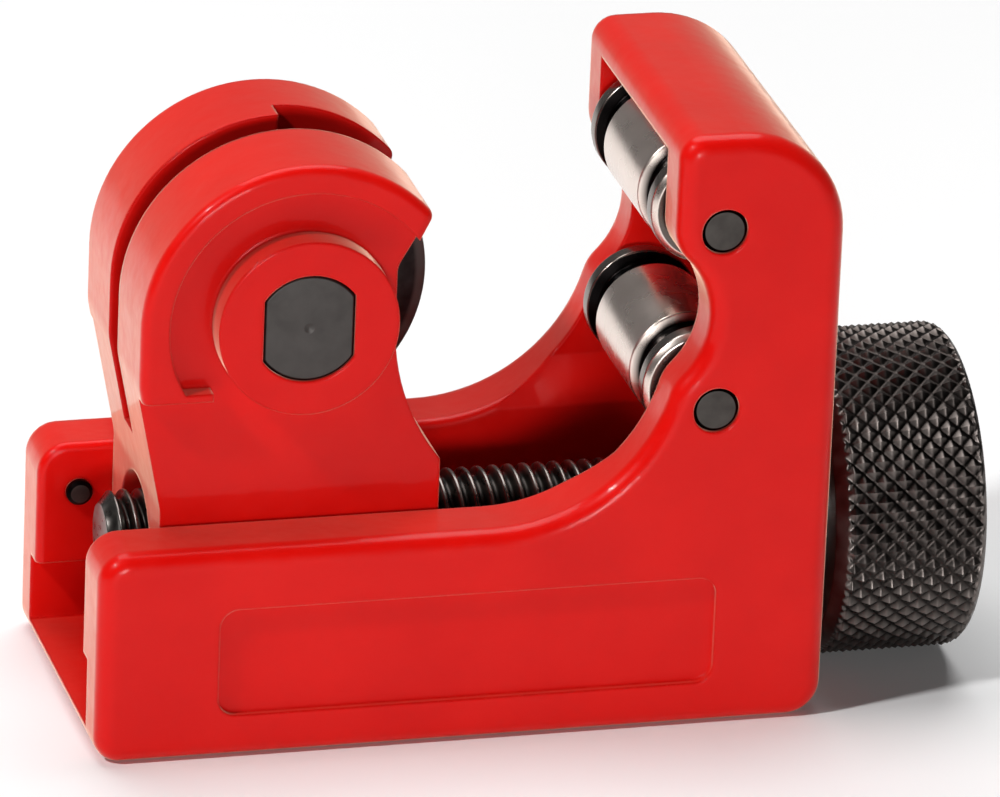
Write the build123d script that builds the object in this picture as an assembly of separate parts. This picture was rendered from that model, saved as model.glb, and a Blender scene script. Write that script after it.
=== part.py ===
from build123d import *
import math
import os

# Pipe cutter for small copper tube. All sizes are millimetres.
# +X runs along the spindle towards the knob, -Y is the front and +Z is up.
# The origin is at the centre of the body's flat base.

# ---- body casting ----
body_length = 47.0
body_width = 23.0
body_height = 39.7
base_height = 14.1          # top of the two low walls
floor_thickness = 1.5
rail_thickness = 4.8        # side wall beside the slider's tail
pocket_wall = 3.5           # side wall beside the rollers
pocket_slope_gap = 0.22     # from the top of the pocket's slope to the lower roller
lower_wall_thickness = 3.2  # side wall below the ledge
ledge_height = 6.0          # underside of the rails
hood_roof = 1.8             # web over the upper roller
hood_back = 3.4             # web behind the rollers
roller_web_gap = 0.8        # rollers to that web
bearing_thickness = 6.0     # end wall that carries the spindle
bearing_height = 16.4
jaw_start = 25.4            # from the left end to where the jaw's arc begins
lobe_radius = 2.95          # wall round each roller pin
notch_inset = 0.5           # pin centres to the bottom of the notch between the lobes
hood_corner = 6.8
hood_front_corner = 1.6
base_corner = 2.2
base_end_corner = 1.6
wall_corner = 2.0
roof_inner_corner = 4.0
edge_round = 1.1
mouth_round = 0.5

# ---- panel in each side face ----
panel_start = 7.7
panel_length = 32.0
panel_bottom = 2.9
panel_height = 7.2
panel_depth = 0.5
panel_corner = 1.2

# ---- rollers ----
roller_radius = 3.68
roller_side_gap = 0.4       # roller's end to the side wall
roller_roof_gap = 0.72      # upper roller to the web over it
roller_flange = 1.3
roller_groove = 2.2
roller_groove_depth = 0.7
roller_groove_slope = 0.28
roller_edge = 0.35
roller_pin_radius = 1.5
roller_bore_clearance = 0.05
roller_spacing = 12.0
pin_recess = 0.15           # pin ends below the side faces

# ---- spindle and knob ----
spindle_radius = 3.0
spindle_height = 10.5
spindle_start = 2.55
spindle_chamfer = 0.6
journal_clearance = 0.05
thread_clearance = 0.08
ring_groove_depth = 0.5
ring_width = 1.8            # ring outside the spindle
ring_room = 0.2             # free space round the ring
ring_mouth_half = 2.0
ring_thickness = 0.8
ring_gap = 0.1
washer_radius = 6.2
washer_thickness = 0.9
washer_gap = 0.1
knob_radius = 10.45
knob_length = 9.8
knob_chamfer = 1.0
knob_end_chamfer = 0.5
knob_end_dish_radius = 7.4
knob_end_dish_depth = 0.6
knob_end_wall = 1.4         # spindle end below the knob's outer face
cross_pin_radius = 1.0
cross_pin_wall = 4.0        # solid knob left beyond the blind end of the cross pin

# ---- slider ----
slide_clearance = 0.1
wheel_place = 13.5          # wheel centre from the left end, at rest
boss_rise = 0.7
boss_radius = 5.75
head_radius = 10.45
head_edge = 0.6
rim_width = 1.75
rim_ledge_drop = 4.8        # wheel centre to the underside of the wide head
rim_ledge = 0.5             # height of the ledge at the rim's lower end
rim_ledge_reach = 2.9       # the ledge runs in from the left this far
throat_reach = 6.0          # wheel centre to the straight right edge of the cheeks
throat_straight = 1.0
throat_drop = 10.2
tip_angle = 40.0
tip_hook_reach = 7.1
tip_hook_height = 4.9
tip_hook_root = 3.0
tip_round = 0.7
hook_round = 1.5
side_straight = 3.8
side_bend = 4.0
tail_bend = 3.0
tail_left = 8.7
tail_right = 9.2
tail_drop = 12.5
flange_clearance = 0.1
flange_side_clearance = 0.2
slot_width = 2.4
slot_mouth_relief = 1.7     # the back cheek is thinner on the side of the rollers
slot_floor_gap = 0.6        # under the wheel
slot_floor_radius = 60.0
counterbore_radius = 4.2
counterbore_depth = 1.6

# ---- cutter wheel and its pin ----
wheel_radius = 9.5
hub_radius = 3.9
hub_clearance = 0.1
disc_half = 0.75
disc_start = 5.6
bevel_start = 7.6
cutting_edge_half = 0.04
wheel_pin_radius = 2.5
wheel_bore_clearance = 0.04
pin_head_radius = 3.55
pin_head_flats = 5.85
pin_head_depth = 1.6
pin_head_recess = 0.1
centre_mark_radius = 0.35
clip_radius = 4.4
clip_thickness = 0.7
clip_groove_depth = 0.5
clip_mouth_half = 1.6
pin_tail = 0.5              # pin beyond the clip

# ---- stop pin ----
stop_place = 2.65
stop_height = 10.85
stop_radius = 0.85
stop_rise = 0.5
stop_seat = 2.4

# ---- cutters reach this far past the casting ----
overcut = 5.0

# ---- values that follow from the ones above ----
x_left = -body_length / 2
x_right = body_length / 2
half_width = body_width / 2
gap_half = half_width - rail_thickness
pocket_half = half_width - pocket_wall
lower_gap_half = half_width - lower_wall_thickness
jaw_x = x_left + jaw_start
web_x = x_right - hood_back
bearing_x = x_right - bearing_thickness
pin_x = web_x - roller_radius - roller_web_gap
upper_pin_height = body_height - hood_roof - roller_roof_gap - roller_radius
lower_pin_height = upper_pin_height - roller_spacing
pocket_slope_end = lower_pin_height - roller_radius - pocket_slope_gap
pocket_slope_start = base_height + mouth_round
roller_half = pocket_half - roller_side_gap
ring_radius = spindle_radius + ring_width
ring_groove_radius = spindle_radius - ring_groove_depth
clip_groove_radius = wheel_pin_radius - clip_groove_depth
wheel_x = x_left + wheel_place
wheel_height = (upper_pin_height + lower_pin_height) / 2
tail_half = gap_half - slide_clearance
head_half = pocket_half - slide_clearance
boss_half = head_half + boss_rise
knob_start = x_right + washer_gap + washer_thickness
knob_end = knob_start + knob_length


def side_prism(face, half):
    """Carry a face drawn in the XZ plane to the same distance on both sides of the middle."""
    return extrude(Plane.XZ * face, amount=half, both=True)


def side_box(x_low, x_high, z_low, z_high, y_low, y_high):
    """A box given by its lowest and highest places."""
    centre = ((x_low + x_high) / 2, (y_low + y_high) / 2, (z_low + z_high) / 2)
    return Pos(*centre) * Box(x_high - x_low, y_high - y_low, z_high - z_low)


def rod_y(x, z, radius, y_low, y_high):
    """A round rod across the tool."""
    place = Pos(x, (y_low + y_high) / 2, z) * Rot(90, 0, 0)
    return place * Cylinder(radius, y_high - y_low)


def rod_x(radius, x_low, x_high):
    """A round rod on the spindle's axis."""
    return Pos((x_low + x_high) / 2, 0, spindle_height) * Rot(0, 90, 0) * Cylinder(radius, x_high - x_low)


def turned(points, place):
    """Turn a closed outline of radius and length into a solid; its axis is then placed."""
    face = make_face(Polyline(*points, close=True))
    return place * revolve(Plane.XZ * face, axis=Axis.Z)


def round_corner(face, x, z, radius):
    """Round the corner of a flat outline that is nearest to x, z."""
    corner = face.vertices().sort_by_distance((x, z, 0))[0]
    return fillet(corner, radius)


def at_angle(centre, radius, degrees):
    """The point on a circle at an angle from its +X."""
    turn = math.radians(degrees)
    return (centre[0] + radius * math.cos(turn), centre[1] + radius * math.sin(turn))


def body_outline():
    """Side view: low walls, an arc up to two lobes with a notch between them, and the hood."""
    rise = lower_pin_height - base_height
    reach = pin_x - jaw_x
    arc_radius = (reach**2 + rise**2 - lobe_radius**2) / (2 * (rise + lobe_radius))
    arc_centre = (jaw_x, base_height + arc_radius)
    lower = (pin_x, lower_pin_height)
    upper = (pin_x, upper_pin_height)
    half = roller_spacing / 2
    inset = lobe_radius
    notch_radius = (half**2 + notch_inset**2 - inset**2) / (2 * (inset - notch_inset))
    notch = (pin_x - notch_inset - notch_radius, lower_pin_height + half)

    arc_end = math.degrees(math.atan2(lower[1] - arc_centre[1], lower[0] - arc_centre[0]))
    lobe_end = math.degrees(math.atan2(notch[1] - lower[1], notch[0] - lower[0]))
    notch_end = math.degrees(math.atan2(upper[1] - notch[1], upper[0] - notch[0]))
    start = (jaw_x, base_height)
    first = at_angle(arc_centre, arc_radius, arc_end)
    second = at_angle(lower, lobe_radius, lobe_end)
    third = at_angle(notch, notch_radius, notch_end)
    fourth = (pin_x - lobe_radius, upper_pin_height)
    edges = [
        ThreePointArc(start, at_angle(arc_centre, arc_radius, (arc_end - 90) / 2), first),
        ThreePointArc(first, at_angle(lower, lobe_radius, (arc_end + 180 + lobe_end) / 2), second),
        ThreePointArc(second, at_angle(notch, notch_radius, 0), third),
        ThreePointArc(third, at_angle(upper, lobe_radius, (360 - lobe_end + 180) / 2), fourth),
        Polyline(
            fourth,
            (fourth[0], body_height),
            (x_right, body_height),
            (x_right, 0),
            (x_left, 0),
            (x_left, base_height),
            start,
        ),
    ]
    face = make_face(edges)
    face = round_corner(face, fourth[0], body_height, hood_front_corner)
    face = round_corner(face, x_right, body_height, hood_corner)
    face = round_corner(face, x_right, 0, base_corner)
    face = round_corner(face, x_left, 0, base_end_corner)
    return round_corner(face, x_left, base_height, wall_corner)


def body_cavity():
    """The space between the walls: rails, T-slot below them, and the wider pocket for the rollers."""
    outside = x_left - overcut
    roof = body_height - hood_roof
    face = make_face(
        Polyline(
            (outside, floor_thickness),
            (bearing_x, floor_thickness),
            (bearing_x, bearing_height),
            (web_x, bearing_height + hood_back),
            (web_x, roof),
            (outside, roof),
            close=True,
        )
    )
    face = round_corner(face, web_x, roof, roof_inner_corner)
    channel = side_prism(face, gap_half)
    corners = [(gap_half, pocket_slope_start), (pocket_half, pocket_slope_end), (pocket_half, roof)]
    mirrored = [(-y, z) for y, z in reversed(corners)]
    section = Plane.YZ * make_face(Polyline(*corners, *mirrored, close=True))
    above = Pos(outside, 0, 0) * extrude(section, amount=web_x - outside)
    pocket = side_prism(face, pocket_half) & above
    slot = side_box(outside, bearing_x, floor_thickness, ledge_height, -lower_gap_half, lower_gap_half)
    return channel + pocket + slot


def panel_cuts():
    """A shallow recess with round corners in both side faces."""
    centre_x = x_left + panel_start + panel_length / 2
    centre_z = panel_bottom + panel_height / 2
    face = RectangleRounded(panel_length, panel_height, panel_corner)
    cutter = side_prism(Pos(centre_x, centre_z) * face, half_width + 1)
    return cutter - side_box(x_left, x_right, 0, base_height, -half_width + panel_depth,
                             half_width - panel_depth)


def body_casting():
    """The red casting: outer shape with rounded edges, less its cavity, panels and bores."""
    solid = side_prism(body_outline(), half_width)
    sides = solid.faces().sort_by(Axis.Y)
    solid = fillet(sides[0].edges() + sides[-1].edges(), edge_round)
    solid -= body_cavity()
    mouth = [
        edge for edge in solid.edges()
        if abs(abs(edge.center().Y) - gap_half) < 0.01
        and edge.center().Z > ledge_height + mouth_round
        and edge.center().Z < pocket_slope_end
        and edge.center().X < pin_x - lobe_radius
    ]
    solid = fillet(mouth, mouth_round)
    solid -= panel_cuts()
    solid -= rod_x(spindle_radius + journal_clearance, bearing_x - 1, x_right + 1)
    ring_start = bearing_x - ring_gap - ring_thickness - ring_room
    solid -= rod_x(ring_radius + ring_room, ring_start, bearing_x)
    for height in (lower_pin_height, upper_pin_height):
        solid -= rod_y(pin_x, height, roller_pin_radius, -half_width - 1, half_width + 1)
    seat = gap_half + stop_seat
    return solid - rod_y(x_left + stop_place, stop_height, stop_radius, gap_half - 1, seat)


def roller(height):
    """A steel roller: wide middle, a flare groove near each end and a flange outside it."""
    half = roller_half
    groove_out = half - roller_flange
    groove_in = groove_out - roller_groove
    low = roller_radius - roller_groove_depth
    inner = roller_pin_radius + roller_bore_clearance
    upper = [
        (low, groove_in + roller_groove_slope),
        (low, groove_out - roller_groove_slope),
        (roller_radius, groove_out),
        (roller_radius, half - roller_edge),
        (roller_radius - roller_edge, half),
        (inner, half),
    ]
    points = [(inner, -half)]
    points += [(r, -z) for r, z in reversed(upper[:-1])]
    points += [(roller_radius, -groove_in), (roller_radius, groove_in)]
    points += upper
    return turned(points, Pos(pin_x, 0, height) * Rot(90, 0, 0))


def roller_pin(height):
    """A plain pin pressed into both side walls."""
    reach = half_width - pin_recess
    return rod_y(pin_x, height, roller_pin_radius, -reach, reach)


def spindle():
    """The screw: plain rod at the thread's outer size, with a groove for the retaining ring."""
    end = knob_end - knob_end_wall
    rod = rod_x(spindle_radius, x_left + spindle_start, end)
    tips = rod.edges().filter_by(GeomType.CIRCLE).sort_by(Axis.X)
    rod = chamfer(tips[0], spindle_chamfer)
    ring_end = bearing_x - ring_gap
    groove = rod_x(spindle_radius + 1, ring_end - ring_thickness, ring_end)
    rod -= groove - rod_x(ring_groove_radius, ring_end - ring_thickness, ring_end)
    return rod - cross_pin()


def retaining_ring():
    """Open ring in the spindle's groove, inside the end wall."""
    ring_end = bearing_x - ring_gap
    ring_start = ring_end - ring_thickness
    ring = rod_x(ring_radius, ring_start, ring_end) - rod_x(ring_groove_radius, ring_start, ring_end)
    mouth = side_box(ring_start, ring_end, spindle_height - ring_radius, spindle_height,
                     -ring_mouth_half, ring_mouth_half)
    return ring - mouth


def thrust_washer():
    """Flat washer between the end wall and the knob."""
    start = x_right + washer_gap
    inner = spindle_radius + journal_clearance
    return rod_x(washer_radius, start, knob_start) - rod_x(inner, start, knob_start)


def cross_pin():
    """Spring pin from the back of the knob through the spindle, blind at the front."""
    place = Pos((knob_start + knob_end) / 2, 0, spindle_height)
    length = 2 * knob_radius - cross_pin_wall - knob_chamfer
    pin = Cylinder(cross_pin_radius, length, align=(Align.CENTER, Align.CENTER, Align.MIN))
    return place * Rot(-90, 0, 0) * Pos(0, 0, -(knob_radius - cross_pin_wall)) * pin


def knob():
    """Round grip with bevelled ends, a blind bore for the spindle and a shallow dish outside."""
    grip = rod_x(knob_radius, knob_start, knob_end)
    rims = grip.edges().filter_by(GeomType.CIRCLE).sort_by(Axis.X)
    grip = chamfer(rims[0], knob_chamfer)
    rims = grip.edges().filter_by(GeomType.CIRCLE).sort_by(Axis.X)
    grip = chamfer(rims[-1], knob_end_chamfer)
    grip -= rod_x(spindle_radius, knob_start, knob_end - knob_end_wall)
    grip -= rod_x(knob_end_dish_radius, knob_end - knob_end_dish_depth, knob_end)
    return grip - cross_pin()


def slider_outline():
    """Cheek seen from the side, round over the wheel, hooked tip, curved throat and straight tail."""
    centre = (wheel_x, wheel_height)
    tip = at_angle(centre, head_radius, tip_angle)
    bottom = floor_thickness + flange_clearance
    throat_top = (wheel_x + throat_reach, wheel_height - throat_straight)
    throat_end = (wheel_x + tail_right, wheel_height - throat_drop)
    out = tail_right - throat_reach
    down = throat_drop - throat_straight
    throat_radius = (out**2 + down**2) / (2 * out)
    sweep = math.degrees(math.asin(down / throat_radius))
    throat_centre = (throat_top[0] + throat_radius, throat_top[1])
    edges = [
        Polyline(
            tip,
            (wheel_x + tip_hook_reach, wheel_height + tip_hook_height),
            (wheel_x + throat_reach, wheel_height + tip_hook_root),
            throat_top,
        ),
        ThreePointArc(
            throat_top, at_angle(throat_centre, throat_radius, 180 + sweep / 2), throat_end
        ),
        Polyline(
            throat_end,
            (wheel_x + tail_right, bottom),
            (wheel_x - tail_left, bottom),
            (wheel_x - tail_left, wheel_height - tail_drop),
            (wheel_x - head_radius, wheel_height - side_straight),
            (wheel_x - head_radius, wheel_height),
        ),
        ThreePointArc(
            (wheel_x - head_radius, wheel_height),
            at_angle(centre, head_radius, (180 + tip_angle) / 2),
            tip,
        ),
    ]
    face = make_face(edges)
    face = round_corner(face, tip[0], tip[1], tip_round)
    hook = (wheel_x + throat_reach, wheel_height + tip_hook_root)
    face = round_corner(face, hook[0], hook[1], hook_round)
    face = round_corner(face, wheel_x - tail_left, wheel_height - tail_drop, tail_bend)
    return round_corner(face, wheel_x - head_radius, wheel_height - side_straight, side_bend)


def wheel_pin_head(extra):
    """Double-D head of the wheel pin, at the front."""
    radius = pin_head_radius + extra
    flat = pin_head_flats / 2 + extra
    front = -(boss_half - pin_head_recess)
    head = rod_y(wheel_x, wheel_height, radius, front - extra, front + pin_head_depth)
    keep = side_box(wheel_x - flat, wheel_x + flat, wheel_height - radius, wheel_height + radius,
                    front - extra, front + pin_head_depth)
    return head & keep


def head_below(top, half):
    """Everything of the slider below a height and beyond a half width, on both sides."""
    low = floor_thickness
    right = wheel_x + tail_right + 1
    left = wheel_x - head_radius - 1
    front = side_box(left, right, low, top, -pocket_half - 1, -half)
    back = side_box(left, right, low, top, half, pocket_half + 1)
    return front + back


def cheek_recess_cut():
    """The sunk face inside the rim of each cheek, flush with the tail, and the ledge at its left."""
    inner = head_radius - rim_width
    low = wheel_height - rim_ledge_drop
    disc = rod_y(wheel_x, wheel_height, inner, -head_half - 1, head_half + 1)
    right = wheel_x + head_radius + 1
    middle = side_box(wheel_x - inner - 1, right, floor_thickness, wheel_height + inner + 1,
                      -tail_half, tail_half)
    ledge_end = wheel_x - inner + rim_ledge_reach
    ledge = side_box(wheel_x - inner - 1, ledge_end, low - 1, low + rim_ledge,
                     -head_half - 1, head_half + 1)
    return disc - middle - ledge


def slot_cuts():
    """The wheel's slot with a round floor, and the relief in the back cheek."""
    slot_floor = wheel_height - wheel_radius - slot_floor_gap
    slot_centre = slot_floor + slot_floor_radius
    slot = rod_y(wheel_x, slot_centre, slot_floor_radius, -slot_width / 2, slot_width / 2)
    mouth = side_box(wheel_x, wheel_x + head_radius + 1, slot_floor + slot_floor_gap,
                     wheel_height + head_radius + 1, 0, slot_width / 2 + slot_mouth_relief)
    return slot + mouth


def slider_casting():
    """The red slider: two cheeks with a wheel slot between them, on a block that rides in the body."""
    solid = side_prism(slider_outline(), head_half)
    head_side = [
        edge for edge in solid.edges()
        if abs(abs(edge.center().Y) - head_half) < 0.01
        and edge.center().Z > wheel_height - rim_ledge_drop
    ]
    solid = fillet(head_side, head_edge)
    solid -= head_below(wheel_height - rim_ledge_drop, tail_half)
    bottom = floor_thickness + flange_clearance
    flange_half = lower_gap_half - flange_side_clearance
    flange_top = ledge_height - flange_clearance
    solid += side_box(wheel_x - tail_left, wheel_x + tail_right, bottom, flange_top,
                      -flange_half, flange_half)
    solid -= cheek_recess_cut()
    solid += rod_y(wheel_x, wheel_height, boss_radius, -boss_half, boss_half)
    solid -= slot_cuts()
    pin_radius = wheel_pin_radius
    solid -= rod_y(wheel_x, wheel_height, pin_radius, -boss_half - 1, boss_half + 1)
    front = -(boss_half - pin_head_recess)
    seat = rod_y(wheel_x, wheel_height, pin_head_radius, -boss_half - 1, front + pin_head_depth)
    flat = pin_head_flats / 2
    keep = side_box(wheel_x - flat, wheel_x + flat, wheel_height - pin_head_radius,
                    wheel_height + pin_head_radius, -boss_half - 1, front + pin_head_depth)
    solid -= seat & keep
    left = wheel_x - tail_left
    solid -= rod_x(spindle_radius + thread_clearance, left - 1, wheel_x + tail_right + 1)
    solid -= rod_x(counterbore_radius, left - 1, left + counterbore_depth)
    return solid


def cutter_wheel():
    """Thin hardened disc with a sharp bevelled edge and a wider hub."""
    inner = wheel_pin_radius + wheel_bore_clearance
    hub_half = slot_width / 2 - hub_clearance
    upper = [
        (hub_radius, hub_half),
        (disc_start, disc_half),
        (bevel_start, disc_half),
        (wheel_radius, cutting_edge_half),
    ]
    points = [(inner, -hub_half)]
    points += [(r, -z) for r, z in upper]
    points += [(r, z) for r, z in reversed(upper)]
    points += [(inner, hub_half)]
    return turned(points, Pos(wheel_x, 0, wheel_height) * Rot(90, 0, 0))


def wheel_pin():
    """Axle of the wheel: double-D head at the front, clip groove at the back."""
    front = -(boss_half - pin_head_recess)
    back = boss_half + clip_thickness + pin_tail
    pin = wheel_pin_head(0) + rod_y(wheel_x, wheel_height, wheel_pin_radius, front, back)
    groove_end = boss_half + clip_thickness
    groove = rod_y(wheel_x, wheel_height, wheel_pin_radius + 1, boss_half, groove_end)
    pin -= groove - rod_y(wheel_x, wheel_height, clip_groove_radius, boss_half, groove_end)
    mark = Pos(wheel_x, front, wheel_height) * Rot(90, 0, 0)
    return pin - mark * Sphere(centre_mark_radius)


def wheel_pin_clip():
    """Open clip in the groove at the back of the wheel pin."""
    start = boss_half
    end = boss_half + clip_thickness
    clip = rod_y(wheel_x, wheel_height, clip_radius, start, end)
    clip -= rod_y(wheel_x, wheel_height, clip_groove_radius, start, end)
    mouth = side_box(wheel_x - clip_mouth_half, wheel_x + clip_mouth_half,
                     wheel_height - clip_radius, wheel_height, start, end)
    return clip - mouth


def stop_pin():
    """Short pin in the back wall that stops the slider at the open end."""
    return rod_y(x_left + stop_place, stop_height, stop_radius, gap_half - stop_rise,
                 gap_half + stop_seat)


parts = {
    "body_casting": body_casting(),
    "upper_roller_pin": roller_pin(upper_pin_height),
    "lower_roller_pin": roller_pin(lower_pin_height),
    "upper_roller": roller(upper_pin_height),
    "lower_roller": roller(lower_pin_height),
    "stop_pin": stop_pin(),
    "spindle": spindle(),
    "retaining_ring": retaining_ring(),
    "thrust_washer": thrust_washer(),
    "knob": knob(),
    "knob_cross_pin": cross_pin(),
    "slider_casting": slider_casting(),
    "cutter_wheel": cutter_wheel(),
    "wheel_pin": wheel_pin(),
    "wheel_pin_clip": wheel_pin_clip(),
}

os.makedirs("parts", exist_ok=True)
for name, solid in parts.items():
    solid.label = name
    export_step(solid, f"parts/{name}.step")
    print(name, round(solid.volume, 2))
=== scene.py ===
"""Looks of a mini pipe cutter: red castings, steel rollers, black wheel, screw and knob."""
import bpy
import math
import numpy as np
from mathutils import Matrix, Vector


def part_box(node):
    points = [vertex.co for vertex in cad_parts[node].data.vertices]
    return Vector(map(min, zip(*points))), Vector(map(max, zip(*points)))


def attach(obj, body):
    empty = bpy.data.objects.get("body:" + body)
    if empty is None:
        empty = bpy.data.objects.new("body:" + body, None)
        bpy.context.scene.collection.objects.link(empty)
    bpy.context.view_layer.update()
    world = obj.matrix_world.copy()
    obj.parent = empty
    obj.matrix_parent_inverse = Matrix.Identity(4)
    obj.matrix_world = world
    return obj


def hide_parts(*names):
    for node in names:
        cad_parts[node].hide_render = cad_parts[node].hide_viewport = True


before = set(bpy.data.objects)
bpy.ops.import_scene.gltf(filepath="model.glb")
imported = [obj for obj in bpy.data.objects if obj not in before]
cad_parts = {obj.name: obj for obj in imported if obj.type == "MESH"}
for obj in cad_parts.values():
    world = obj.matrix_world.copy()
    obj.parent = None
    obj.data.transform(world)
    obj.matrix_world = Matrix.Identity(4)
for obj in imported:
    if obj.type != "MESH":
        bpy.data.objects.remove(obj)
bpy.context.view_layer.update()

MM = 0.001
TURN = 2 * math.pi

# ---- camera, in the row frame ----
AIM = Vector((0, 0, 20 * MM))
YAW = math.radians(15.382)
PITCH = math.radians(22.718)
ROLL = math.radians(2.392)
SIDE_SHIFT = -4.5123 * MM
UP_SHIFT = 1.2881 * MM
DISTANCE = 694.3 * MM
LENS = 396.6

# ---- studio ----
TOP_POWER = 1.7
SPARK_POWER = 1.2
FILL_POWER = 2.9
WORLD_DIM = 0.16
WORLD_BRIGHT = 3.4

# ---- sizes of what CAD leaves plain ----
THREAD_PITCH = 1.0 * MM
THREAD_DEPTH = 0.58 * MM
THREAD_END = 40.2 * MM        # from the body's left end
KNURL_COUNT = 50
KNURL_DEPTH = 0.36 * MM
KNOB_CHAMFER = 1.0 * MM
KNOB_END_CHAMFER = 0.5 * MM
KNOB_DISH = 7.4 * MM
KNOB_DISH_DEPTH = 0.6 * MM
ROLLER_FLANGE = 1.3 * MM
ROLLER_GROOVE = 2.2 * MM
ROLLER_GROOVE_DEPTH = 0.7 * MM
ROLLER_GROOVE_SLOPE = 0.28 * MM
ROLLER_EDGE = 0.35 * MM
ROLLER_BORE = 1.6 * MM
PIN_CHAMFER = 0.22 * MM
PIN_HEAD_DEPTH = 1.6 * MM
PIN_GAP = 0.2 * MM
WHEEL_PIN_RADIUS = 2.5 * MM
CLIP_GROOVE_RADIUS = 2.0 * MM
WHEEL_HUB = 3.9 * MM
WHEEL_DISC = 5.6 * MM
WHEEL_BEVEL = 7.6 * MM
WHEEL_THICKNESS = 1.5 * MM
WHEEL_BORE = 2.6 * MM
WHEEL_EDGE_HALF = 0.04 * MM
WHEEL_GROUND = 0.8 * MM       # bright ground band at the edge
FLOOR_REACH = 3.0
SHARP_ANGLE = math.radians(50)


def softened(points, radius, steps=4):
    """Profile with each inner corner c replaced by a curve from c - d to c + d along its two sides,
    where d is the least of radius and 0.45 of either side. Points are (along, radius) in metres."""
    pts = [np.array(p, float) for p in points]
    out = [pts[0]]
    for before, corner, after in zip(pts, pts[1:], pts[2:]):
        one, two = before - corner, after - corner
        d = min(radius, 0.45 * np.linalg.norm(one), 0.45 * np.linalg.norm(two))
        a = corner + one / np.linalg.norm(one) * d
        b = corner + two / np.linalg.norm(two) * d
        for t in np.linspace(0, 1, steps + 1):
            out.append((1 - t) ** 2 * a + 2 * t * (1 - t) * corner + t * t * b)
    return np.array(out + [pts[-1]])


def resampled(profile, step):
    """The same profile with points added so that no two are further apart than step."""
    rows = [profile[:1]]
    for a, b in zip(profile, profile[1:]):
        count = max(1, int(math.ceil(np.linalg.norm(b - a) / step)))
        t = np.linspace(0, 1, count + 1)[1:, None]
        rows.append(a * (1 - t) + b * t)
    return np.concatenate(rows)


def round_piece(name, profile, centre, axis, columns, shade=None, change=None):
    """Surface of revolution: place(i, j) = centre + along(i) * axis
    + r(i, j) * (cos, sin)(2 pi j / columns), where r(i, j) = radius(i) - change(along, angle, radius).
    Its two ends close on the axis.
    shade(along, radius) is kept in the attribute "tone" for the material."""
    along, radius = profile[:, 0], profile[:, 1]
    angle = np.arange(columns) / columns * TURN
    grid = np.repeat(radius[:, None], columns, 1)
    if change is not None:
        grid = grid - change(along[:, None], angle[None, :], grid)
    x = np.repeat(along[:, None], columns, 1)
    flat = np.stack([x, grid * np.cos(angle), grid * np.sin(angle)], -1).reshape(-1, 3)
    poles = np.array([[along[0], 0, 0], [along[-1], 0, 0]])
    places = np.concatenate([flat, poles])
    if axis == "y":
        places = places[:, [2, 0, 1]]
    rows = len(along)
    i = np.arange(rows - 1)[:, None] * columns
    j = np.arange(columns)[None, :]
    k = (j + 1) % columns
    quads = np.stack([i + j, i + k, i + columns + k, i + columns + j], -1).reshape(-1, 4)
    ring = np.arange(columns)
    following = (ring + 1) % columns
    last = (rows - 1) * columns
    first_cap = np.stack([np.full(columns, rows * columns), following, ring], -1)
    last_cap = np.stack([np.full(columns, rows * columns + 1), last + ring, last + following], -1)
    mesh = bpy.data.meshes.new(name)
    mesh.from_pydata((places + np.array(centre)).tolist(), [],
                     quads.tolist() + first_cap.tolist() + last_cap.tolist())
    mesh.shade_smooth()
    mesh.set_sharp_from_angle(angle=SHARP_ANGLE)
    if shade is not None:
        tone = np.concatenate([shade(x, grid).ravel(), shade(along[[0, -1]], radius[[0, -1]])])
        kept = mesh.attributes.new("tone", "FLOAT", "POINT")
        kept.data.foreach_set("value", tone.astype(np.float32))
    piece = bpy.data.objects.new(name, mesh)
    bpy.context.scene.collection.objects.link(piece)
    return piece


def dress(piece, body, slot, paint, *nodes):
    """Finish for a new piece: it takes the paint, rides on a body and stands for CAD nodes; slot is not
    used.
    """
    piece.data.materials.clear()
    piece.data.materials.append(paint)
    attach(piece, body)
    if nodes:
        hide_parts(*nodes)


def middle(node):
    """Centre of a CAD node's box."""
    low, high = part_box(node)
    return (low + high) / 2


# ---- materials ----

def new_material(name):
    """A new material with its nodes, links and shader."""
    made = bpy.data.materials.new(name)
    made.use_nodes = True
    nodes = made.node_tree.nodes
    return made, nodes, made.node_tree.links, nodes["Principled BSDF"]


def noise(nodes, links, scale, detail, stretch=(1, 1, 1)):
    """Noise on object coordinates; stretch scales each axis."""
    place = nodes.new("ShaderNodeTexCoord")
    mapping = nodes.new("ShaderNodeMapping")
    mapping.inputs["Scale"].default_value = stretch
    texture = nodes.new("ShaderNodeTexNoise")
    texture.inputs["Scale"].default_value = scale
    texture.inputs["Detail"].default_value = detail
    links.new(place.outputs["Object"], mapping.inputs["Vector"])
    links.new(mapping.outputs["Vector"], texture.inputs["Vector"])
    return texture.outputs["Fac"]


def ramp(nodes, links, source, low, high, start=0.3, end=0.7):
    """Colour that goes from low to high as source goes from start to end."""
    made = nodes.new("ShaderNodeValToRGB")
    made.color_ramp.elements[0].position = start
    made.color_ramp.elements[1].position = end
    made.color_ramp.elements[0].color = (*low, 1)
    made.color_ramp.elements[1].color = (*high, 1)
    links.new(source, made.inputs["Fac"])
    return made.outputs["Color"]


def spread(nodes, links, source, low, high):
    """Number that goes from low to high as source goes from 0.3 to 0.7."""
    made = nodes.new("ShaderNodeMapRange")
    made.inputs["From Min"].default_value = 0.3
    made.inputs["From Max"].default_value = 0.7
    made.inputs["To Min"].default_value = low
    made.inputs["To Max"].default_value = high
    links.new(source, made.inputs["Value"])
    return made.outputs["Result"]


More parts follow.
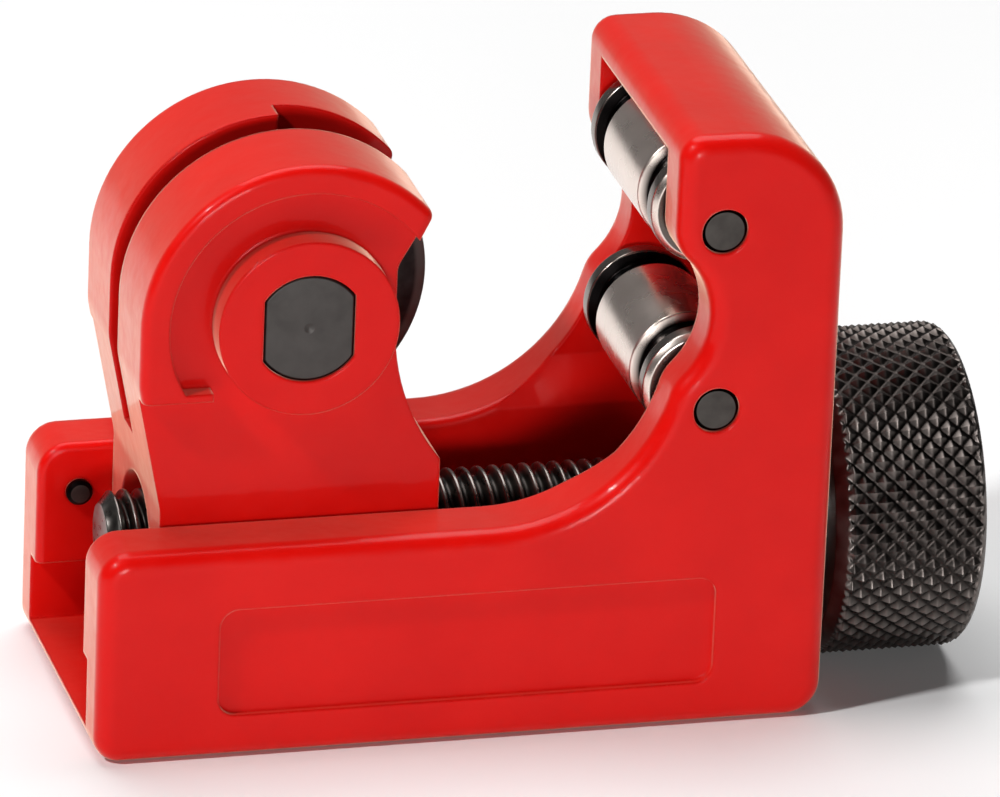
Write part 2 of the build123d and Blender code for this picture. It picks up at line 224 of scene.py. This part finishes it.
def cast_paint():
    """Glossy red on a slightly rough casting: orange-peel bumps, uneven gloss and soft edges."""
    made, nodes, links, shader = new_material("cast_red_paint")
    blotch = noise(nodes, links, 140, 3)
    links.new(ramp(nodes, links, blotch, (0.60, 0.002, 0.001), (0.67, 0.004, 0.002)),
              shader.inputs["Base Color"])
    grain = noise(nodes, links, 900, 2)
    links.new(spread(nodes, links, grain, 0.30, 0.42), shader.inputs["Roughness"])
    shader.inputs["Coat Weight"].default_value = 0.4
    shader.inputs["Coat Roughness"].default_value = 0.07
    shader.inputs["Coat IOR"].default_value = 1.3
    shader.inputs["Specular IOR Level"].default_value = 0.1
    shader.inputs["Sheen Weight"].default_value = 1.0
    shader.inputs["Sheen Roughness"].default_value = 0.3
    shader.inputs["Sheen Tint"].default_value = (1.0, 0.72, 0.52, 1)
    edge = nodes.new("ShaderNodeBevel")
    edge.samples = 6
    edge.inputs["Radius"].default_value = 0.32 * MM
    peel = noise(nodes, links, 430, 2.5)
    bump = nodes.new("ShaderNodeBump")
    bump.inputs["Strength"].default_value = 0.4
    bump.inputs["Distance"].default_value = 0.12 * MM
    links.new(peel, bump.inputs["Height"])
    links.new(edge.outputs["Normal"], bump.inputs["Normal"])
    links.new(bump.outputs["Normal"], shader.inputs["Normal"])
    links.new(bump.outputs["Normal"], shader.inputs["Coat Normal"])
    return made


def steel(name, dark, light, rough, stretch=(1, 1, 1), scale=900, bump_depth=0.01, soft_edge=0.0,
          shade_and_ground_colour=None):
    """Bare or blackened steel: tone and gloss follow a noise stretched along the machining marks.
    The last argument is the colour where the piece's tone attribute is 1: painted shade in grooves,
    bevels, gaps and hollows on most pieces, the bright ground edge on the wheel."""
    made, nodes, links, shader = new_material(name)
    shader.inputs["Metallic"].default_value = 1.0
    marks = noise(nodes, links, scale, 3, stretch)
    colour = ramp(nodes, links, marks, dark, light)
    # Mix towards the last colour where tone is high: painted shade on most pieces, the ground edge on
    # the wheel.
    if shade_and_ground_colour is not None:
        tone = nodes.new("ShaderNodeAttribute")
        tone.attribute_name = "tone"
        mix = nodes.new("ShaderNodeMix")
        mix.data_type = "RGBA"
        links.new(tone.outputs["Fac"], mix.inputs["Factor"])
        links.new(colour, mix.inputs["A"])
        mix.inputs["B"].default_value = (*shade_and_ground_colour, 1)
        colour = mix.outputs["Result"]
    links.new(colour, shader.inputs["Base Color"])
    links.new(spread(nodes, links, marks, rough[0], rough[1]), shader.inputs["Roughness"])
    bump = nodes.new("ShaderNodeBump")
    bump.inputs["Strength"].default_value = 0.3
    bump.inputs["Distance"].default_value = bump_depth * MM
    links.new(marks, bump.inputs["Height"])
    if soft_edge:
        edge = nodes.new("ShaderNodeBevel")
        edge.samples = 4
        edge.inputs["Radius"].default_value = soft_edge * MM
        links.new(edge.outputs["Normal"], bump.inputs["Normal"])
    links.new(bump.outputs["Normal"], shader.inputs["Normal"])
    return made


RED = cast_paint()
# Roller steel: its warm pink cast is painted reflection of the red castings, and its last colour is
# painted shade for the grooves, flanges and end faces.
BRIGHT = steel("ground_steel", (0.80, 0.68, 0.61), (0.88, 0.76, 0.69), (0.24, 0.31),
               scale=400, bump_depth=0.002, shade_and_ground_colour=(0.006, 0.005, 0.005))
# Pin steel: its last colour is painted shade on the bevelled ends.
PIN = steel("sawn_pin", (0.055, 0.049, 0.045), (0.085, 0.076, 0.070), (0.42, 0.55),
            scale=800, shade_and_ground_colour=(0.003, 0.002, 0.002))
# Wheel pin steel: its last colour is painted shade round the head.
WHEEL_PIN = steel("black_wheel_pin", (0.060, 0.055, 0.052), (0.085, 0.078, 0.074), (0.45, 0.60),
                  scale=700, shade_and_ground_colour=(0.003, 0.002, 0.002))
# Thread steel: its last colour is painted shade in the thread roots.
SCREW = steel("oiled_thread", (0.14, 0.125, 0.115), (0.24, 0.22, 0.205), (0.24, 0.36),
              scale=1100, shade_and_ground_colour=(0.012, 0.010, 0.009))
# Knob steel: its last colour is painted shade in the knurl's valleys.
KNOB = steel("knurled_black", (0.10, 0.086, 0.079), (0.16, 0.138, 0.128), (0.28, 0.42),
             scale=800, shade_and_ground_colour=(0.014, 0.011, 0.010))
# The wheel's last colour is its bright ground edge, its own finish.
WHEEL = steel("black_wheel", (0.014, 0.013, 0.013), (0.036, 0.034, 0.033), (0.28, 0.42),
              scale=900, shade_and_ground_colour=(0.10, 0.095, 0.09))
ZINC = steel("bright_zinc", (0.34, 0.33, 0.32), (0.52, 0.51, 0.49), (0.25, 0.40),
             stretch=(1, 1, 3), scale=700, soft_edge=0.1)

PAINTED = {
    "body_casting": RED,
    "slider_casting": RED,
    "wheel_pin_clip": ZINC,
    "retaining_ring": ZINC,
    "thrust_washer": ZINC,
    "knob_cross_pin": ZINC,
}


# ---- new pieces ----

def knurl(radius):
    """Cut below the plain profile r: max(0, depth - (R - r)), where depth is KNURL_DEPTH times the
    larger of two saw waves |2 frac(u) - 1|, u = KNURL_COUNT angle / 2 pi + or - along / pitch.
    So the bevels cut the knurl off, as on a turned knob."""
    pitch = TURN * radius / KNURL_COUNT

    def depth(along, angle, reach):
        turn = KNURL_COUNT * angle / TURN
        one = np.abs(2 * ((turn + along / pitch) % 1) - 1)
        two = np.abs(2 * ((turn - along / pitch) % 1) - 1)
        return np.maximum(0, KNURL_DEPTH * np.maximum(one, two) - (radius - reach))
    return depth


def make_knob():
    """Knurled knob: a bevel, the grip, a smaller bevel and a shallow dish in the outer face."""
    low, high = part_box("knob")
    centre = middle("knob")
    radius = (high.z - low.z) / 2
    start, end = low.x, high.x
    left = softened([(start, 0.5 * MM), (start, radius - KNOB_CHAMFER), (start + KNOB_CHAMFER, radius),
                     (start + 2 * KNOB_CHAMFER, radius)], 0.08 * MM)
    right = softened([(end - 2 * KNOB_CHAMFER, radius), (end - KNOB_END_CHAMFER, radius),
                      (end, radius - KNOB_END_CHAMFER), (end, KNOB_DISH),
                      (end - KNOB_DISH_DEPTH, KNOB_DISH - 0.3 * MM),
                      (end - KNOB_DISH_DEPTH, 0.5 * MM)], 0.08 * MM)
    grip = np.array([left[-1], right[0]])
    profile = np.concatenate([left[:-1], grip, right[1:]])
    near = profile[:, 1] > radius - 1.2 * KNOB_CHAMFER
    first, last = np.flatnonzero(near)[[0, -1]]
    profile = np.concatenate([profile[:first], resampled(profile[first:last + 1], 0.11 * MM),
                              profile[last + 1:]])

    # Painted shade: darker the deeper the knurl is cut, only on the grip.
    def tone(along, r):
        grip_zone = (along > start + KNOB_CHAMFER) & (along < end - KNOB_END_CHAMFER)
        return np.clip((radius - r) / KNURL_DEPTH, 0, 1) ** 1.5 * grip_zone
    piece = round_piece("knurled_knob", profile, (0, centre.y, centre.z), "x", 12 * KNURL_COUNT,
                        shade=tone, change=knurl(radius))
    dress(piece, "screw", "knob_steel", KNOB, "knob")


def make_screw():
    """Spindle with a thread of one right-hand start: depth is THREAD_DEPTH times a smoothed saw wave
    of along / pitch - angle / 2 pi, and fades out at the tip and before the end wall."""
    low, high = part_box("spindle")
    centre = middle("spindle")
    radius = (high.z - low.z) / 2
    body_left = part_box("body_casting")[0].x
    last = body_left + THREAD_END
    tip = [(low.x, 0.4 * MM), (low.x, radius - 0.75 * MM), (low.x + 0.7 * MM, radius)]
    start = softened(tip + [(low.x + 1.2 * MM, radius)], 0.1 * MM)
    rows = resampled(np.array([start[-1], [last, radius]]), THREAD_PITCH / 18)
    shank = np.array([[high.x, radius], [high.x, 0.4 * MM]])
    profile = np.concatenate([start[:-1], rows, shank])

    def depth(along, angle, reach):
        phase = (along / THREAD_PITCH - angle / TURN) % 1
        saw = np.abs(2 * phase - 1)
        groove = np.clip((saw - 0.13) / 0.72, 0, 1)
        groove = groove * groove * (3 - 2 * groove)
        fade_in = np.clip((along - low.x) / (0.5 * MM), 0, 1)
        fade_out = np.clip((last - along) / THREAD_PITCH, 0, 1)
        return THREAD_DEPTH * groove * (fade_in * fade_out)

    # Painted shade: darker the deeper the thread is cut, towards the roots.
    def tone(along, r):
        return np.clip((radius - r) / THREAD_DEPTH, 0, 1) * (along > low.x + 0.6 * MM) * 0.9
    piece = round_piece("threaded_screw", profile, (0, centre.y, centre.z), "x", 72,
                        shade=tone, change=depth)
    dress(piece, "screw", "spindle_steel", SCREW, "spindle")


def make_roller(node, body):
    """Roller with a groove near each end; the grooves, flanges and end faces are darkened with painted
    shade.
    """
    low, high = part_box(node)
    centre = middle(node)
    radius = (high.z - low.z) / 2
    half = (high.y - low.y) / 2
    deep = radius - ROLLER_GROOVE_DEPTH
    out = half - ROLLER_FLANGE
    inner = out - ROLLER_GROOVE
    one = [(0, radius), (inner, radius), (inner + ROLLER_GROOVE_SLOPE, deep),
           (out - ROLLER_GROOVE_SLOPE, deep), (out, radius), (half - ROLLER_EDGE, radius),
           (half, radius - ROLLER_EDGE), (half, ROLLER_BORE)]
    points = [(-a, r) for a, r in reversed(one)] + one[1:]

    # Painted shade: full in the grooves, 0.7 on the flanges, 0.85 on the end faces.
    def tone(along, r):
        groove = (np.abs(along) < out - 0.02 * MM) & (np.abs(along) > inner + 0.05 * MM)
        flange = (np.abs(along) >= out - 0.02 * MM) & (np.abs(along) < half - 0.4 * MM)
        return groove * 1.0 + 0.7 * flange + 0.85 * (np.abs(along) > half - 0.02 * MM)
    piece = round_piece(node + "_turned", softened(points, 0.12 * MM), (centre.x, centre.y, centre.z),
                        "y", 96, shade=tone)
    dress(piece, body, "roller_steel", BRIGHT, node)


def make_pin(node, body):
    """Pin with bevelled ends; the bevels and the side are darkened with painted shade of the gap round
    the pin.
    """
    low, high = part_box(node)
    centre = middle(node)
    radius = (high.z - low.z) / 2
    half = (high.y - low.y) / 2
    one = [(0, radius), (half - PIN_CHAMFER, radius), (half, radius - PIN_CHAMFER), (half, 0.3 * MM)]
    points = [(-a, r) for a, r in reversed(one)] + one[1:]

    # Painted shade on the bevel and the side; the end face keeps the plain colour.
    def tone(along, r):
        return (r > radius - PIN_CHAMFER * 1.02) * 1.0
    piece = round_piece(node + "_bevelled", softened(points, 0.05 * MM), (centre.x, centre.y, centre.z),
                        "y", 64, shade=tone)
    dress(piece, body, "pin_steel", PIN, node)


def make_wheel_pin():
    """Wheel pin: radius(i) where it is round, and at its head the least of radius(i) and
    (flat - (R - radius(i))) / |sin angle|, which gives two flats. It has a small centre mark and a
    grooved tail."""
    low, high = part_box("wheel_pin")
    centre = middle("wheel_pin")
    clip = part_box("wheel_pin_clip")
    radius = (high.z - low.z) / 2
    flat = (high.x - low.x) / 2
    front, back = low.y - centre.y, high.y - centre.y
    head_end = front + PIN_HEAD_DEPTH
    points = [(front + 0.10 * MM, 0.03 * MM), (front, 0.34 * MM), (front, radius - PIN_GAP),
              (front + PIN_GAP, radius), (head_end, radius), (head_end, WHEEL_PIN_RADIUS),
              (clip[0].y - centre.y, WHEEL_PIN_RADIUS), (clip[0].y - centre.y, CLIP_GROOVE_RADIUS),
              (clip[1].y - centre.y, CLIP_GROOVE_RADIUS), (clip[1].y - centre.y, WHEEL_PIN_RADIUS),
              (back, WHEEL_PIN_RADIUS - 0.1 * MM), (back, 0.3 * MM)]

    def flats(along, angle, reach):
        side = np.maximum(np.abs(np.sin(angle)), 1e-6)
        limit = (flat - (radius - reach)) / side
        allowed = np.where(reach > 0.5 * radius, limit, reach)
        return np.where(along <= head_end + 0.01 * MM, np.maximum(reach - allowed, 0), 0)

    # Painted shade: the bevel round the head's face and the head's side go dark, as the gap in the boss
    # would.
    def tone(along, r):
        ring = (along > front + 0.03 * MM) & (along < head_end) & (r > 0.5 * radius)
        return ring * 1.0
    profile = softened(points, 0.04 * MM)
    piece = round_piece("double_d_wheel_pin", profile, (centre.x, centre.y, centre.z), "y", 144,
                        shade=tone, change=flats)
    dress(piece, "slider", "wheel_pin_steel", WHEEL_PIN, "wheel_pin")


def make_wheel():
    """Cutter wheel: hub, thin disc and a bevel ground to an edge, which is bright."""
    low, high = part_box("cutter_wheel")
    centre = middle("cutter_wheel")
    radius = (high.z - low.z) / 2
    half = (high.y - low.y) / 2
    disc = WHEEL_THICKNESS / 2
    one = [(half, WHEEL_BORE), (half, WHEEL_HUB), (disc, WHEEL_DISC), (disc, WHEEL_BEVEL),
           (WHEEL_EDGE_HALF, radius)]
    points = [(-a, r) for a, r in one] + [(a, r) for a, r in reversed(one)]

    def tone(along, r):
        return np.clip((r - (radius - WHEEL_GROUND)) / (0.3 * MM), 0, 1)
    profile = resampled(softened(points, 0.08 * MM), 0.3 * MM)
    piece = round_piece("bevelled_wheel", profile, (centre.x, centre.y, centre.z), "y", 144, shade=tone)
    dress(piece, "wheel", "wheel_steel", WHEEL, "cutter_wheel")


def paint_castings():
    """Finish for the CAD pieces that stay as they are."""
    for node, paint in PAINTED.items():
        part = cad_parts[node]
        part.data.materials.clear()
        part.data.materials.append(paint)


# ---- floor, lights and camera ----

def make_floor():
    """Pale, nearly white floor: a flat square on z = 0."""
    mesh = bpy.data.meshes.new("studio_floor")
    reach = FLOOR_REACH
    corners = [(-reach, -reach, 0), (reach, -reach, 0), (reach, reach, 0), (-reach, reach, 0)]
    mesh.from_pydata(corners, [], [(0, 1, 2, 3)])
    floor = bpy.data.objects.new("studio_floor", mesh)
    bpy.context.scene.collection.objects.link(floor)
    made, nodes, links, shader = new_material("pale_floor")
    mottle = noise(nodes, links, 3, 2)
    links.new(ramp(nodes, links, mottle, (0.90, 0.90, 0.90), (0.93, 0.93, 0.93)),
              shader.inputs["Base Color"])
    shader.inputs["Roughness"].default_value = 0.8
    shader.inputs["Specular IOR Level"].default_value = 0.1
    mesh.materials.append(made)


def add_light(name, place, size, power):
    """Square soft light at place, facing the object."""
    lamp = bpy.data.lights.new(name, "AREA")
    lamp.shape = "RECTANGLE"
    lamp.size, lamp.size_y = size
    lamp.energy = power
    holder = bpy.data.objects.new(name, lamp)
    holder.location = place
    holder.rotation_mode = "QUATERNION"
    holder.rotation_quaternion = (AIM - Vector(place)).to_track_quat("-Z", "Y")
    bpy.context.scene.collection.objects.link(holder)


def make_lights():
    """Big soft light above and behind, a low front fill, a small one up at the left, and a world
    that goes from WORLD_DIM in front of the object to WORLD_BRIGHT behind it, along +Y."""
    add_light("top_softbox", (0.02, 0.14, 0.42), (0.40, 0.30), TOP_POWER)
    add_light("spark", (-0.30, -0.10, 0.35), (0.03, 0.03), SPARK_POWER)
    add_light("front_fill", (-0.10, -0.80, 0.13), (0.24, 0.12), FILL_POWER)
    world = bpy.data.worlds.new("studio")
    world.use_nodes = True
    nodes, links = world.node_tree.nodes, world.node_tree.links
    place = nodes.new("ShaderNodeTexCoord")
    split = nodes.new("ShaderNodeSeparateXYZ")
    grade = nodes.new("ShaderNodeMapRange")
    grade.interpolation_type = "SMOOTHSTEP"
    grade.inputs["From Min"].default_value = 0.25
    grade.inputs["From Max"].default_value = 0.95
    grade.inputs["To Min"].default_value = WORLD_DIM
    grade.inputs["To Max"].default_value = WORLD_BRIGHT
    links.new(place.outputs["Generated"], split.inputs["Vector"])
    links.new(split.outputs["Y"], grade.inputs["Value"])
    links.new(grade.outputs["Result"], nodes["Background"].inputs["Strength"])
    bpy.context.scene.world = world


def make_camera():
    """Camera frame from yaw, pitch and roll: forward = (sin yaw cos pitch, cos yaw cos pitch,
    -sin pitch), then right and up turned by roll, moved back by DISTANCE and aside by the shifts."""
    level = math.cos(PITCH)
    forward = Vector((math.sin(YAW) * level, math.cos(YAW) * level, -math.sin(PITCH)))
    right = Vector((math.cos(YAW), -math.sin(YAW), 0))
    up = right.cross(forward)
    side = math.cos(ROLL) * right + math.sin(ROLL) * up
    top = -math.sin(ROLL) * right + math.cos(ROLL) * up
    data = bpy.data.cameras.new("camera")
    data.lens = LENS
    data.sensor_width = 36.0
    data.clip_start = 0.01
    data.clip_end = 20
    camera = bpy.data.objects.new("camera", data)
    camera.location = AIM - SIDE_SHIFT * side - UP_SHIFT * top - DISTANCE * forward
    turn = Matrix((side, top, -forward)).transposed()
    camera.rotation_mode = "QUATERNION"
    camera.rotation_quaternion = turn.to_quaternion()
    bpy.context.scene.collection.objects.link(camera)
    bpy.context.scene.camera = camera


paint_castings()
make_knob()
make_screw()
make_roller("upper_roller", "roller_up")
make_roller("lower_roller", "roller_low")
make_pin("upper_roller_pin", "frame")
make_pin("lower_roller_pin", "frame")
make_pin("stop_pin", "frame")
make_wheel()
make_wheel_pin()
make_floor()
make_lights()
make_camera()
bpy.context.scene.view_settings.view_transform = "Standard"
